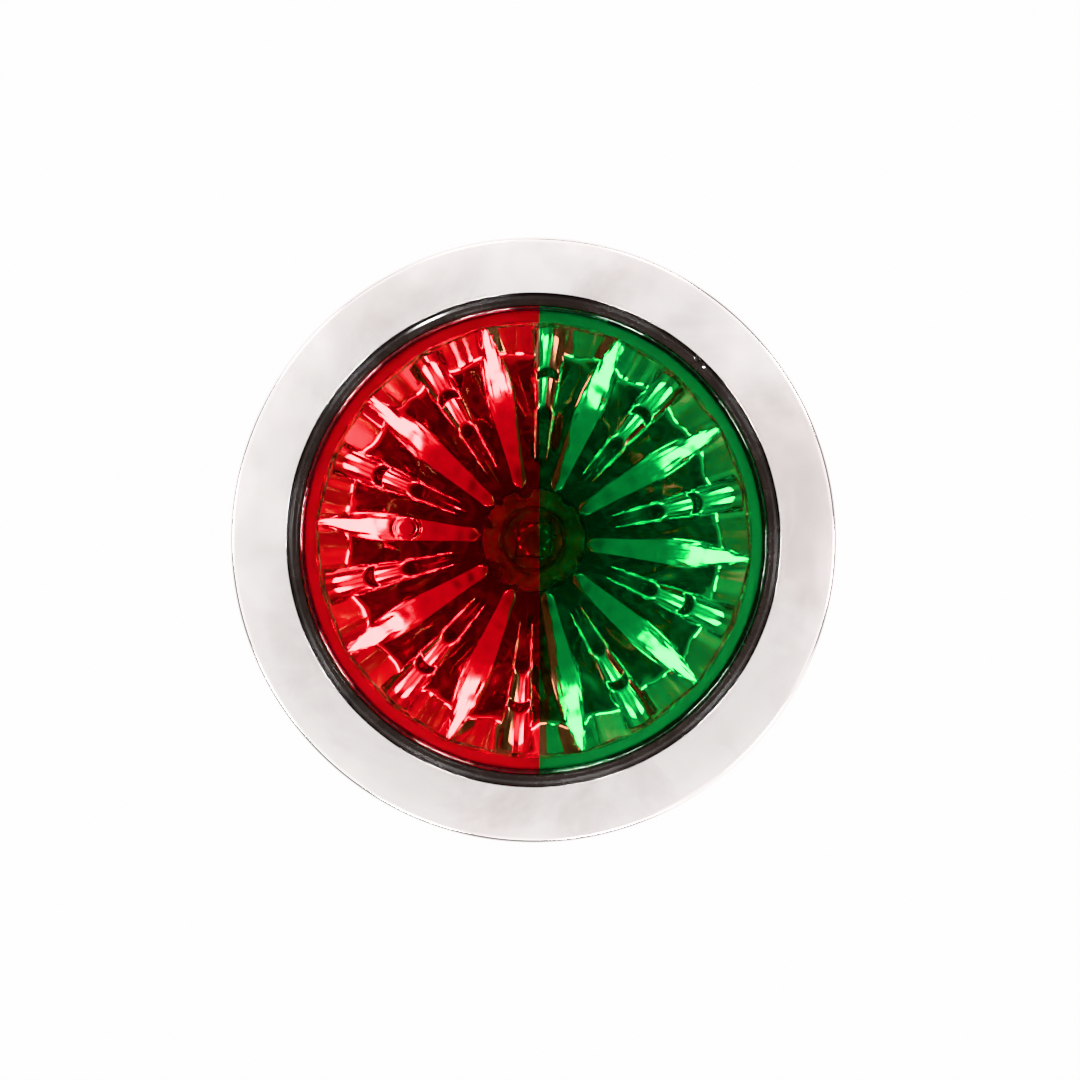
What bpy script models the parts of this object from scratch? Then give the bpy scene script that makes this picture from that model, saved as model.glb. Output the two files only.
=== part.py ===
"""A round, flush-mounted, two-colour bow navigation light, in metres.

The light looks along -Y, its red half to the viewer's left (-X) and its green half to the right,
with +Z up. The origin is the centre of the panel's front face, where the gasket rests. Every
turned piece is drawn about a local +Z that points out of the lens; the empty "light_axis" turns
that axis to -Y. Heights below are along that local axis: above 0 is in front of the panel.

From front to back: a stamped stainless bezel folded over the housing's flange, the bonded lens
halves and their black seal, a fluted mirror with one LED in its hub, the circuit board and its
heat spreader, and a rear cover with a two-pin inlet. A washer and a ring nut on the threaded
barrel clamp the panel against the gasket.
"""

import math

import bmesh
import bpy
import numpy as np
from mathutils import Matrix, Vector

# ---- driving dimensions -------------------------------------------------------------------

GAP = 0.0003  # between pieces that touch in the real light
BEZEL_RADIUS, BEZEL_BORE, BEZEL_TOP = 0.04125, 0.0338, 0.0057
LENS_RADIUS = 0.03175
SEAM_OFFSET = 0.0008  # the seam of the lens halves lies this far from the middle, on the green side
BORE_RADIUS = 0.0299  # inside of the barrel
BARREL_END = -0.0275

THREAD_PITCH = 0.004
THREAD_CREST = 0.0323
THREAD_ROOT = 0.0314
THREAD_START, THREAD_END = -0.0265, -0.0010
# One tooth as shares of the pitch: where each corner lies, and whether it is on the crest.
TOOTH = ((0.0, False), (0.3, True), (0.5, True), (0.8, False))

PANEL_THICKNESS = 0.006  # the panel that the nut is set for at rest
WASHER_THICKNESS = 0.0016
NUT_HEIGHT = 0.0085

RIB_COUNT = 10  # ridges in the mirror, with a channel half-way between each two
RIB_STEP = 360 / RIB_COUNT
RIB_TURN = math.radians(5)  # the first channel's angle from straight up, clockwise from the front
HUB_RADIUS, BOWL_RADIUS = 0.0073, 0.0293
# (radius, height) points down the mirror: its floor, its ridges' crests and its channels' floors.
FLOOR_LINE = ((HUB_RADIUS, -0.0086), (0.0120, -0.0080), (0.0250, -0.0057), (BOWL_RADIUS, -0.0027))
CREST_LINE = ((HUB_RADIUS, -0.0083), (0.0175, -0.0052), (BOWL_RADIUS, 0.0003))
CHANNEL_LINE = ((0.0085, -0.0094), (0.0178, -0.0086), (0.0224, -0.0069), (0.0285, -0.0048))
RIDGE_WIDEST = 0.019  # from here out a ridge narrows to its point
RIDGE_ROOT, RIDGE_SPREAD = 0.00085, 0.125  # half its width at the hub, and the growth of that
CHANNEL_ROOT, CHANNEL_SPREAD = 0.00055, 0.085

BOARD_FRONT, BOARD_BACK = -0.0131, -0.0147
LEDGE_FRONT, LEDGE_BACK = -0.0150, -0.0172
LEDGE_RADIUS = 0.0239
SPREADER_RADIUS = 0.0222
COVER_FRONT, COVER_STEP, COVER_BACK = -0.0248, -0.0278, -0.0298
COVER_SCREW_CIRCLE = 0.0252
BOARD_SCREW_CIRCLE = 0.0262
PIN_OFFSET = 0.004
INLET_DEPTH = 0.0087

COARSE, FINE = 14, 36  # sides of a small and of a large round piece


# ---- scene, materials and shared tools ----------------------------------------------------


def clear_scene():
    for old in list(bpy.data.objects):
        bpy.data.objects.remove(old, do_unlink=True)


def new_collection(name):
    collection = bpy.data.collections.new(name)
    bpy.context.scene.collection.children.link(collection)
    return collection


def new_material(name, colour, roughness, metallic=0.0, alpha=1.0):
    made = bpy.data.materials.new(name)
    made.use_nodes = True
    shader = made.node_tree.nodes["Principled BSDF"]
    shader.inputs["Base Color"].default_value = (*colour, 1.0)
    shader.inputs["Roughness"].default_value = roughness
    shader.inputs["Metallic"].default_value = metallic
    shader.inputs["Alpha"].default_value = alpha
    made.diffuse_color = (*colour, alpha)
    return made


clear_scene()
light = new_collection("navigation_light")
cutters = new_collection("cutters")
axis = bpy.data.objects.new("light_axis", None)
axis.rotation_euler.x = math.radians(90)
light.objects.link(axis)

STEEL = new_material("polished_steel", (0.76, 0.74, 0.73), 0.12, metallic=1.0)
RED = new_material("red_polycarbonate", (0.83, 0.01, 0.02), 0.05, alpha=0.6)
GREEN = new_material("green_polycarbonate", (0.0, 0.32, 0.07), 0.05, alpha=0.6)
SEAL_RUBBER = new_material("black_rubber", (0.025, 0.021, 0.02), 0.55)
NYLON = new_material("black_nylon", (0.02, 0.02, 0.021), 0.4)
MIRROR = new_material("mirror_coat", (0.88, 0.88, 0.89), 0.06, metallic=1.0)
CLEAR = new_material("clear_silicone", (0.9, 0.9, 0.88), 0.05, alpha=0.5)
PHOSPHOR = new_material("led_phosphor", (0.85, 0.72, 0.15), 0.6)
COPPER = new_material("copper_core", (0.72, 0.42, 0.28), 0.35, metallic=1.0)
BOARD = new_material("board_lacquer", (0.9, 0.9, 0.88), 0.45)
PAD_GREY = new_material("grey_silicone", (0.35, 0.37, 0.4), 0.8)
ALUMINIUM = new_material("aluminium", (0.66, 0.67, 0.69), 0.35, metallic=1.0)
CHIP = new_material("component_black", (0.03, 0.03, 0.03), 0.5)
RESISTOR = new_material("component_ceramic", (0.35, 0.3, 0.24), 0.5)
BRASS = new_material("plated_brass", (0.78, 0.66, 0.42), 0.25, metallic=1.0)
WIRE_RED = new_material("red_insulation", (0.6, 0.03, 0.03), 0.45)
WIRE_BLACK = new_material("black_insulation", (0.03, 0.03, 0.03), 0.45)


def add_piece(name, mesh, material, place=(0, 0, 0), turn=0.0):
    """A piece of the light on its axis: place is in the local frame, turn is about the axis."""
    piece = bpy.data.objects.new(name, mesh)
    light.objects.link(piece)
    piece.parent = axis
    piece.location = place
    piece.rotation_euler.z = turn
    mesh.materials.append(material)
    mesh.shade_smooth()
    mesh.set_sharp_from_angle(angle=math.radians(35))
    return piece


def filleted(corners, steps=1):
    """(radius, height, fillet) corners of a closed profile, with each fillet drawn as an arc."""
    points = []
    for i, (radius, height, fillet) in enumerate(corners):
        corner = Vector((radius, height))
        if fillet == 0:
            points.append(corner)
            continue
        before = (Vector(corners[i - 1][:2]) - corner).normalized()
        after = (Vector(corners[(i + 1) % len(corners)][:2]) - corner).normalized()
        half = before.angle(after) / 2
        centre = corner + (before + after).normalized() * (fillet / math.sin(half))
        first = corner + before * (fillet / math.tan(half)) - centre
        last = corner + after * (fillet / math.tan(half)) - centre
        sweep = first.angle_signed(last)
        for step in range(steps + 1):
            # angle_signed is clockwise, and a rotation matrix turns the other way.
            points.append(centre + Matrix.Rotation(-sweep * step / steps, 2) @ first)
    return points


def turned(name, points, material, segments=FINE, closed=True, **where):
    """A profile of (radius, height) points turned about the axis. It runs down the outer side."""
    mesh = bpy.data.meshes.new(name)
    outline = [(point[0], 0.0, point[1]) for point in points]
    edges = [(i, i + 1) for i in range(len(outline) - 1)]
    if closed:
        edges.append((len(outline) - 1, 0))
    mesh.from_pydata(outline, edges, [])
    piece = add_piece(name, mesh, material, **where)
    screw = piece.modifiers.new("turn", "SCREW")
    screw.axis = "Z"
    screw.steps = screw.render_steps = segments
    screw.use_merge_vertices = True
    screw.merge_threshold = 0.00001
    screw.use_smooth_shade = True
    return piece


def disc_points(radius, low, high):
    """The open profile of a solid disc, from its top centre round to its bottom centre."""
    return [(0, high), (radius, high), (radius, low), (0, low)]


def ring_points(inner, outer, low, high):
    return [(inner, high), (outer, high), (outer, low), (inner, low)]


def cylinder_mesh(name, radius, low, high, segments=COARSE, top_radius=None):
    shape = bmesh.new()
    bmesh.ops.create_cone(
        shape,
        cap_ends=True,
        segments=segments,
        radius1=radius,
        radius2=radius if top_radius is None else top_radius,
        depth=high - low,
    )
    bmesh.ops.translate(shape, vec=(0, 0, (high + low) / 2), verts=shape.verts)
    mesh = bpy.data.meshes.new(name)
    shape.to_mesh(mesh)
    shape.free()
    return mesh


def box_mesh(name, size, centre=(0, 0, 0)):
    shape = bmesh.new()
    bmesh.ops.create_cube(shape, size=1.0)
    bmesh.ops.scale(shape, vec=size, verts=shape.verts)
    bmesh.ops.translate(shape, vec=centre, verts=shape.verts)
    mesh = bpy.data.meshes.new(name)
    shape.to_mesh(mesh)
    shape.free()
    return mesh


def add_box(name, size, centre, material, bevel=0.0):
    piece = add_piece(name, box_mesh(name, size), material, place=centre)
    if bevel:
        rounding = piece.modifiers.new("edges", "BEVEL")
        rounding.width = bevel
        rounding.segments = 1
    return piece


def around(radius, count, first=0.0):
    """count places on a circle about the axis, the first at an angle from +X."""
    angles = [first + 2 * math.pi * i / count for i in range(count)]
    return [(radius * math.cos(a), radius * math.sin(a)) for a in angles]


def boolean(piece, mesh, places=((0, 0),), operation="DIFFERENCE"):
    """Cuts copies of a mesh from a piece, or joins them to it, at (x, y) places on it."""
    for x, y in places:
        tool = bpy.data.objects.new(f"{piece.name}_tool", mesh)
        cutters.objects.link(tool)
        tool.parent = piece
        tool.location = (x, y, 0)
        tool.hide_render = True
        tool.display_type = "WIRE"
        modifier = piece.modifiers.new(operation.lower(), "BOOLEAN")
        modifier.operation = operation
        modifier.object = tool


def weld_and_finish(shape, name):
    """Joins the walls of a hand-built piece where they meet, and returns its mesh."""
    bmesh.ops.remove_doubles(shape, verts=shape.verts, dist=0.000002)
    bmesh.ops.recalc_face_normals(shape, faces=shape.faces)
    mesh = bpy.data.meshes.new(name)
    shape.to_mesh(mesh)
    shape.free()
    return mesh


def add_wall(shape, points, segments=FINE):
    """Turns an open profile into a wall of a hand-built piece, about the axis."""
    row = [shape.verts.new((point[0], 0.0, point[1])) for point in points]
    edges = [shape.edges.new(pair) for pair in zip(row, row[1:])]
    bmesh.ops.spin(
        shape,
        geom=row + edges,
        axis=(0, 0, 1),
        cent=(0, 0, 0),
        angle=2 * math.pi,
        steps=segments,
        use_merge=True,
    )


def add_thread(shape, start, end, clearance, end_radius, segments=FINE):
    """A right-handed screw thread as an open wall, run out to end_radius at both flat ends.

    Row k is one corner of the tooth, followed round the helix: after a whole turn it becomes
    row k + 4. Points past an end are drawn back to it, which closes the wall in a plain circle.
    """
    corners = len(TOOTH)

    def point(row, column):
        share, on_crest = TOOTH[row % corners]
        height = THREAD_PITCH * (row // corners + share + column / segments)
        angle = 2 * math.pi * column / segments
        radius = (THREAD_CREST if on_crest else THREAD_ROOT) + clearance
        if not start < height < end:
            height, radius = min(max(height, start), end), end_radius
        return (radius * math.cos(angle), radius * math.sin(angle), height)

    first = (math.floor(start / THREAD_PITCH) - 2) * corners
    last = (math.ceil(end / THREAD_PITCH) + 1) * corners
    grid = {
        (row, column): shape.verts.new(point(row, column))
        for row in range(first, last + corners + 2)
        for column in range(segments)
    }
    for row in range(first, last):
        for column in range(segments):
            turn, beside = divmod(column + 1, segments)
            face = [
                grid[row, column],
                grid[row + corners * turn, beside],
                grid[row + corners * turn + 1, beside],
                grid[row + 1, column],
            ]
            if len({tuple(corner.co) for corner in face}) > 2:
                shape.faces.new(face)
    loose = [corner for corner in shape.verts if not corner.link_faces]
    bmesh.ops.delete(shape, geom=loose, context="VERTS")


# ---- front: bezel, gasket, seal and lens --------------------------------------------------


def make_bezel():
    """A stamped ring: a sloping face, a turned-in bore and a hem folded under the flange."""
    wall = 0.0010
    corners = [
        (BEZEL_BORE, BEZEL_TOP - 0.0001, 0.0003),
        (BEZEL_BORE + 0.0006, BEZEL_TOP, 0.0002),
        (BEZEL_RADIUS, 0.0036, 0.0011),
        (BEZEL_RADIUS, 0.0002, 0.0003),
        (0.0386, 0.0002, 0.0),
        (0.0386, 0.0009, 0.0),
        (BEZEL_RADIUS - wall, 0.0009, 0.0),
        (BEZEL_RADIUS - wall, 0.0028, 0.0),
        (BEZEL_BORE + 0.0009, 0.0045, 0.0),
        (BEZEL_BORE, 0.0045, 0.0),
    ]
    turned("bezel", filleted(corners, steps=3), STEEL, segments=48)


def make_gasket():
    turned("bezel_gasket", ring_points(BEZEL_BORE, 0.0382, 0.0, 0.0009), SEAL_RUBBER)


def make_lens_seal():
    """The black ring round the lens: an upstand beside its edge and a lip under it."""
    corners = [
        (0.0320, 0.0051, 0.0003),
        (0.0334, 0.0051, 0.0005),
        (0.0334, 0.0033, 0.0),
        (0.0313, 0.0033, 0.0),
        (0.0313, 0.0037, 0.0),
        (0.0320, 0.0037, 0.0),
    ]
    turned("lens_seal", filleted(corners), SEAL_RUBBER)


def make_lens_halves():
    """A shallow dome in two colours, parted on the upright plane through the axis."""
    rim_top, rim_bottom, crown, thickness = 0.0053, 0.0040, 0.0014, 0.0016
    rings = 5

    def dome(radius, height, rise):
        return height + rise * (1 - (radius / LENS_RADIUS) ** 2)

    radii = [LENS_RADIUS * 0.985 * i / rings for i in range(rings + 1)]
    outside = [(r, dome(r, rim_top, crown)) for r in radii]
    edge = [(LENS_RADIUS, rim_top - 0.0003), (LENS_RADIUS, rim_bottom)]
    inside = [(r, dome(r, rim_top - thickness, crown)) for r in reversed(radii[:-1])]
    inside[0:0] = [(0.0298, rim_bottom)]
    half = 0.05
    for name, material, side in (("lens_red", RED, 1), ("lens_green", GREEN, -1)):
        piece = turned(name, outside + edge + inside, material, closed=False)
        centre = (SEAM_OFFSET + side * (half / 2 - GAP / 2), 0, 0)
        boolean(piece, box_mesh(f"{name}_other_half", (half, 2 * half, half), centre))


# ---- mirror and lamp ----------------------------------------------------------------------

def height_on(line, radius):
    return float(np.interp(radius, *zip(*line)))


def ridge_half_width(radius):
    width = RIDGE_ROOT + RIDGE_SPREAD * (min(radius, RIDGE_WIDEST) - HUB_RADIUS)
    run = max(0.0, (radius - RIDGE_WIDEST) / (BOWL_RADIUS + GAP - RIDGE_WIDEST))
    return width * (1 - run**2) ** 0.65


def channel_half_width(radius):
    return CHANNEL_ROOT + CHANNEL_SPREAD * (radius - CHANNEL_LINE[0][0])


def mirror_height(radius, angle):
    """The mirror's front: a bowl with rounded ridges that end in points, and square channels."""
    period = 2 * math.pi / RIB_COUNT
    floor = height_on(FLOOR_LINE, radius)
    off_ridge = abs(radius * math.sin(math.remainder(angle - period / 2, period)))
    off_channel = abs(radius * math.sin(math.remainder(angle, period)))
    if off_ridge < ridge_half_width(radius):
        share = (1 - (off_ridge / ridge_half_width(radius)) ** 3) ** (1 / 3)
        return floor + share * (height_on(CREST_LINE, radius) - floor)
    starts, ends = CHANNEL_LINE[0][0], CHANNEL_LINE[-1][0]
    if starts <= radius <= ends and off_channel < 0.8 * channel_half_width(radius):
        return height_on(CHANNEL_LINE, radius)
    return floor


def make_reflector():
    """The fluted bowl: rows of the front surface, a wall up to its flange, and a plain back."""
    ridge_columns, channel_columns = (-7, -3.5, 0, 3.5, 7), (13, 16, 20, 23)
    offsets = [math.radians(RIB_STEP / 2 + a) for a in ridge_columns]
    offsets += [math.radians(RIB_STEP / 2 + a) for a in channel_columns]
    radii = [HUB_RADIUS, 0.0085, 0.0120, 0.0150, 0.0178, 0.0200, 0.0224, 0.0250, 0.0270, 0.0285]
    radii.append(BOWL_RADIUS)
    rim = [(0.0295, 0.0037), (0.0310, 0.0037), (0.0310, 0.0033), (0.02965, 0.0033)]
    back = [(0.02965, -0.0066), (0.0200, -0.0096), (HUB_RADIUS, -0.0102)]
    shape = bmesh.new()
    columns = []
    for angle in [math.radians(RIB_STEP * i) + offset for i in range(RIB_COUNT) for offset in offsets]:
        # Clockwise from straight up, as the light is seen from the front.
        x, y = math.sin(angle + RIB_TURN), math.cos(angle + RIB_TURN)
        points = [(r, mirror_height(r, angle)) for r in radii] + rim + back
        columns.append([shape.verts.new((r * x, r * y, height)) for r, height in points])
    for left, right in zip(columns, columns[1:] + columns[:1]):
        for i in range(len(left)):
            j = (i + 1) % len(left)
            shape.faces.new((left[i], left[j], right[j], right[i]))
    add_piece("reflector", weld_and_finish(shape, "reflector"), MIRROR)


def make_lamp():
    """One white LED on a copper base, under a clear dome and inside a black collar."""
    turned("led_carrier", disc_points(0.0047, -0.0128, -0.0112), COPPER, 24, closed=False)
    add_box("led_emitter", (0.0034, 0.0034, 0.0006), (0, 0, -0.0106), PHOSPHOR, 0.0001)
    dome_radius, dome_foot = 0.00405, -0.0095
    arc = [math.radians(a) for a in range(90, -1, -15)]
    dome = [(dome_radius * math.cos(a), dome_foot + 0.8 * dome_radius * math.sin(a)) for a in arc]
    foot = [(0.0046, dome_foot), (0.0046, dome_foot - 0.0005), (0, dome_foot - 0.0005)]
    turned("led_dome", dome + foot, CLEAR, 24, closed=False)
    collar = [
        (0.0044, -0.0090, 0.0),
        (0.0064, -0.0078, 0.0),
        (0.0070, -0.0078, 0.0),
        (0.0070, -0.0128, 0.0),
        (0.0050, -0.0128, 0.0),
        (0.0050, -0.0092, 0.0),
        (0.0044, -0.0092, 0.0),
    ]
    turned("led_shroud", filleted(collar), NYLON, 24)


# ---- board and driver ---------------------------------------------------------------------


def make_board():
    """The round board, its driver parts on the front, and a finned plate bonded behind it."""
    board = turned("circuit_board", disc_points(0.0295, BOARD_BACK, BOARD_FRONT), BOARD, closed=False)
    screws = around(BOARD_SCREW_CIRCLE, 3, math.radians(90))
    boolean(board, cylinder_mesh("board_screw_hole", 0.0014, -0.016, -0.012), screws)
    for number, (x, y) in enumerate(screws, 1):
        make_screw(f"board_screw_{number}", (x, y, BOARD_FRONT), 0.0021, 0.0010, 0.0045, 1)

    top = BOARD_FRONT + GAP
    add_box("driver_chip", (0.0050, 0.0040, 0.0015), (0.0135, 0.0040, top + 0.00075), CHIP, 0.0002)
    add_box("polarity_diode", (0.0042, 0.0026, 0.0016), (-0.0130, 0.0060, top + 0.0008), CHIP, 0.0002)
    add_box("inductor", (0.0050, 0.0050, 0.0018), (0.0125, -0.0070, top + 0.0009), CHIP, 0.0005)
    for number, y in enumerate((-0.0030, -0.0065), 1):
        place = (-0.0130, y, top + 0.0003)
        add_box(f"resistor_{number}", (0.0032, 0.0016, 0.0006), place, RESISTOR, 0.0001)
    can = filleted([(0, 0.0019, 0), (0.0020, 0.0019, 0.0003), (0.0020, 0.0, 0), (0, 0.0, 0)])
    turned("capacitor", can, ALUMINIUM, COARSE, closed=False, place=(0, 0.0150, top))

    window = box_mesh("wire_window", (0.0140, 0.0080, 0.0060), (0, -0.0100, -0.0160))
    pad_front = BOARD_BACK - GAP
    pad_back = pad_front - 0.0005
    pad_points = disc_points(SPREADER_RADIUS, pad_back, pad_front)
    pad = turned("thermal_pad", pad_points, PAD_GREY, closed=False)
    boolean(pad, window)
    plate_points = disc_points(SPREADER_RADIUS, pad_back - GAP - 0.0015, pad_back - GAP)
    plate = turned("heat_spreader", plate_points, ALUMINIUM, closed=False)
    boolean(plate, window)
    for side in (-1, 1):
        for x in (0.0095, 0.0135, 0.0175):
            length = 1.8 * math.sqrt(SPREADER_RADIUS**2 - x**2)
            fin = box_mesh("fin", (0.0014, length, 0.0045), (side * x, 0, -0.0190))
            boolean(plate, fin, operation="UNION")


def make_screw(name, place, head_radius, shank_radius, length, way):
    """A cross-head screw at place: the head stands on the way side, the shank goes the other."""
    head = head_radius * 0.65
    outline = [
        (0, head, 0),
        (head_radius * 0.7, head, 0),
        (head_radius, head * 0.5, 0),
        (head_radius, GAP / 2, 0),
        (shank_radius, GAP / 2, 0),
        (shank_radius, -length + shank_radius, 0),
        (0, -length, 0),
    ]
    screw = turned(name, filleted(outline), STEEL, 12, closed=False, place=place)
    if way < 0:
        screw.rotation_euler.x = math.pi
    slot = head_radius * 1.1
    for size in ((slot, 0.0005, head), (0.0005, slot, head)):
        boolean(screw, box_mesh("cross_slot", size, (0, 0, head)))


def make_wires():
    """Two short leads from the inlet pins' tails, through the plate's window, to the board."""
    for name, side, material in (
        ("wire_positive", -1, WIRE_RED),
        ("wire_negative", 1, WIRE_BLACK),
    ):
        x = side * PIN_OFFSET
        route = [
            Vector((x, 0.0, -0.0217)),
            Vector((x, -0.0007, -0.0200)),
            Vector((x, -0.0050, -0.0186)),
            Vector((x, -0.0092, -0.0178)),
            Vector((x, -0.0100, BOARD_BACK - GAP)),
        ]
        curve = bpy.data.curves.new(name, "CURVE")
        curve.dimensions = "3D"
        curve.bevel_depth = 0.0007
        curve.bevel_resolution = 2
        curve.use_fill_caps = True
        spline = curve.splines.new("POLY")
        points = smooth_route(route, 4)
        spline.points.add(len(points) - 1)
        for knot, point in zip(spline.points, points):
            knot.co = (*point, 1.0)
        wire = bpy.data.objects.new(name, curve)
        light.objects.link(wire)
        wire.parent = axis
        curve.materials.append(material)


def smooth_route(route, steps):
    """Points on a smooth curve through the route's own points."""
    ends = [2 * route[0] - route[1], *route, 2 * route[-1] - route[-2]]
    points = []
    for before, start, end, after in zip(ends, ends[1:], ends[2:], ends[3:]):
        for step in range(steps):
            t = step / steps
            points.append(
                0.5
                * (
                    2 * start
                    + (end - before) * t
                    + (2 * before - 5 * start + 4 * end - after) * t**2
                    + (3 * start - before - 3 * end + after) * t**3
                )
            )
    return [*points, route[-1]]


# ---- housing and rear cover ---------------------------------------------------------------


def make_housing():
    """The barrel: thread outside, a wedge flange under the bezel, and a ledge for the board."""
    shape = bmesh.new()
    add_thread(shape, THREAD_START, THREAD_END, 0.0, THREAD_ROOT)
    add_wall(
        shape,
        [
            (THREAD_ROOT, THREAD_END),
            (THREAD_CREST, THREAD_END + 0.0008),
            (THREAD_CREST, 0.0012),
            (0.0399, 0.0012),
            (0.0399, 0.0025),
            (0.0347, 0.0041),
            (0.0338, 0.0030),
            (BORE_RADIUS, 0.0030),
            (BORE_RADIUS, LEDGE_FRONT),
            (LEDGE_RADIUS, LEDGE_FRONT),
            (LEDGE_RADIUS, LEDGE_BACK),
            (BORE_RADIUS, LEDGE_BACK),
            (BORE_RADIUS, BARREL_END),
            (THREAD_ROOT - 0.0005, BARREL_END),
            (THREAD_ROOT, BARREL_END + 0.0005),
            (THREAD_ROOT, THREAD_START),
        ],
    )
    housing = add_piece("housing", weld_and_finish(shape, "housing"), NYLON)
    posts = around(COVER_SCREW_CIRCLE, 4, math.radians(45))
    post = cylinder_mesh("cover_post", 0.0026, COVER_FRONT + 0.0004, LEDGE_BACK + 0.001)
    boolean(housing, post, posts, "UNION")
    boolean(housing, cylinder_mesh("post_hole", 0.0015, COVER_FRONT - 0.001, -0.0185), posts)
    board_screws = around(BOARD_SCREW_CIRCLE, 3, math.radians(90))
    boolean(housing, cylinder_mesh("ledge_hole", 0.0013, -0.0190, -0.0140), board_screws)


def rounded_slab(name, width, height, low, high, radius=0.0015):
    """A rectangular block with round upright corners, as a filled outline extruded."""
    curve = bpy.data.curves.new(name, "CURVE")
    curve.dimensions = "2D"
    curve.fill_mode = "BOTH"
    curve.extrude = (high - low) / 2
    spline = curve.splines.new("POLY")
    corners = []
    for quarter, (sx, sy) in enumerate(((1, 1), (-1, 1), (-1, -1), (1, -1))):
        for step in range(4):
            angle = math.radians(90 * quarter + 30 * step)
            corners.append(
                (
                    sx * (width / 2 - radius) + radius * math.cos(angle),
                    sy * (height / 2 - radius) + radius * math.sin(angle),
                )
            )
    spline.points.add(len(corners) - 1)
    for knot, (x, y) in zip(spline.points, corners):
        knot.co = (x, y, 0.0, 1.0)
    spline.use_cyclic_u = True
    holder = bpy.data.objects.new(name, curve)
    bpy.context.scene.collection.objects.link(holder)
    graph = bpy.context.evaluated_depsgraph_get()
    mesh = bpy.data.meshes.new_from_object(holder.evaluated_get(graph))
    bpy.data.objects.remove(holder)
    shape = bmesh.new()
    shape.from_mesh(mesh)
    bmesh.ops.remove_doubles(shape, verts=shape.verts, dist=0.000001)
    bmesh.ops.translate(shape, vec=(0, 0, (low + high) / 2), verts=shape.verts)
    shape.to_mesh(mesh)
    shape.free()
    return mesh


def make_rear_cover():
    """The plug that closes the barrel, with its ring seal, screws and two-pin inlet."""
    outline = [
        (0, COVER_FRONT, 0),
        (0.0295, COVER_FRONT, 0),
        (0.0295, -0.0256, 0),
        (0.0279, -0.0256, 0),
        (0.0279, -0.0272, 0),
        (0.0295, -0.0272, 0),
        (0.0295, COVER_STEP, 0),
        (0.0310, COVER_STEP, 0),
        (0.0310, COVER_BACK, 0.0004),
        (0, COVER_BACK, 0),
    ]
    cover = turned("rear_cover", filleted(outline), NYLON, closed=False)
    boolean(
        cover,
        rounded_slab("inlet_shroud", 0.019, 0.011, COVER_BACK - INLET_DEPTH, COVER_BACK + 0.001),
        operation="UNION",
    )
    cavity = rounded_slab("inlet_cavity", 0.016, 0.008, COVER_BACK - 0.02, COVER_BACK)
    boolean(cover, cavity)
    pins = [(-PIN_OFFSET, 0), (PIN_OFFSET, 0)]
    boolean(cover, cylinder_mesh("pin_hole", 0.0015, COVER_BACK - 0.001, COVER_FRONT + 0.001), pins)
    screws = around(COVER_SCREW_CIRCLE, 4, math.radians(45))
    boolean(
        cover, cylinder_mesh("screw_hole", 0.0015, COVER_BACK - 0.001, COVER_FRONT + 0.001), screws
    )
    for number, (x, y) in enumerate(screws, 1):
        make_screw(f"cover_screw_{number}", (x, y, COVER_BACK), 0.0024, 0.0012, 0.0105, -1)

    arc = [2 * math.pi * i / 6 for i in range(6, 0, -1)]
    section = [(0.02895 + 0.0007 * math.cos(a), -0.0264 + 0.0007 * math.sin(a)) for a in arc]
    turned("rear_cover_seal", section, SEAL_RUBBER)

    for name, side in (("inlet_pin_positive", -1), ("inlet_pin_negative", 1)):
        pin = [
            (0, -0.0220),
            (0.0012, -0.0220),
            (0.0012, COVER_BACK - 0.0060),
            (0.0007, COVER_BACK - 0.0068),
            (0, COVER_BACK - 0.0068),
        ]
        turned(name, pin, BRASS, COARSE, closed=False, place=(side * PIN_OFFSET, 0, 0))

    low = COVER_BACK - GAP - 0.0010
    high = COVER_BACK - GAP
    seal = add_piece("inlet_seal", rounded_slab("inlet_seal", 0.0154, 0.0074, low, high), SEAL_RUBBER)
    boolean(seal, rounded_slab("inlet_seal_hole", 0.0118, 0.0046, low - 0.001, high + 0.001))


# ---- clamp: washer and ring nut -----------------------------------------------------------


def make_clamp():
    """What is turned by hand behind the panel: the nut runs on the thread and pushes the washer."""
    washer_front = -PANEL_THICKNESS
    washer_back = washer_front - WASHER_THICKNESS
    outline = ring_points(THREAD_CREST + 0.0004, 0.0388, washer_back, washer_front)
    turned("clamp_washer", outline, STEEL)

    nut_front = washer_back - GAP
    nut_back = nut_front - NUT_HEIGHT
    mouth = THREAD_CREST + GAP
    shape = bmesh.new()
    add_thread(shape, nut_back, nut_front, GAP, mouth)
    add_wall(
        shape,
        [
            (mouth, nut_front),
            (0.0385, nut_front),
            (0.0391, nut_front - 0.0006),
            (0.0391, nut_back + 0.0012),
            (0.0379, nut_back),
            (mouth, nut_back),
        ],
    )
    nut = add_piece("clamp_nut", weld_and_finish(shape, "clamp_nut"), NYLON)
    grips = cylinder_mesh("finger_grip", 0.0042, nut_back - 0.001, nut_front + 0.001)
    boolean(nut, grips, around(0.0413, 8, math.radians(22.5)))


make_bezel()
make_gasket()
make_lens_seal()
make_lens_halves()
make_reflector()
make_lamp()
make_housing()
make_board()
make_wires()
make_rear_cover()
make_clamp()
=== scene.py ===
import math

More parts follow.
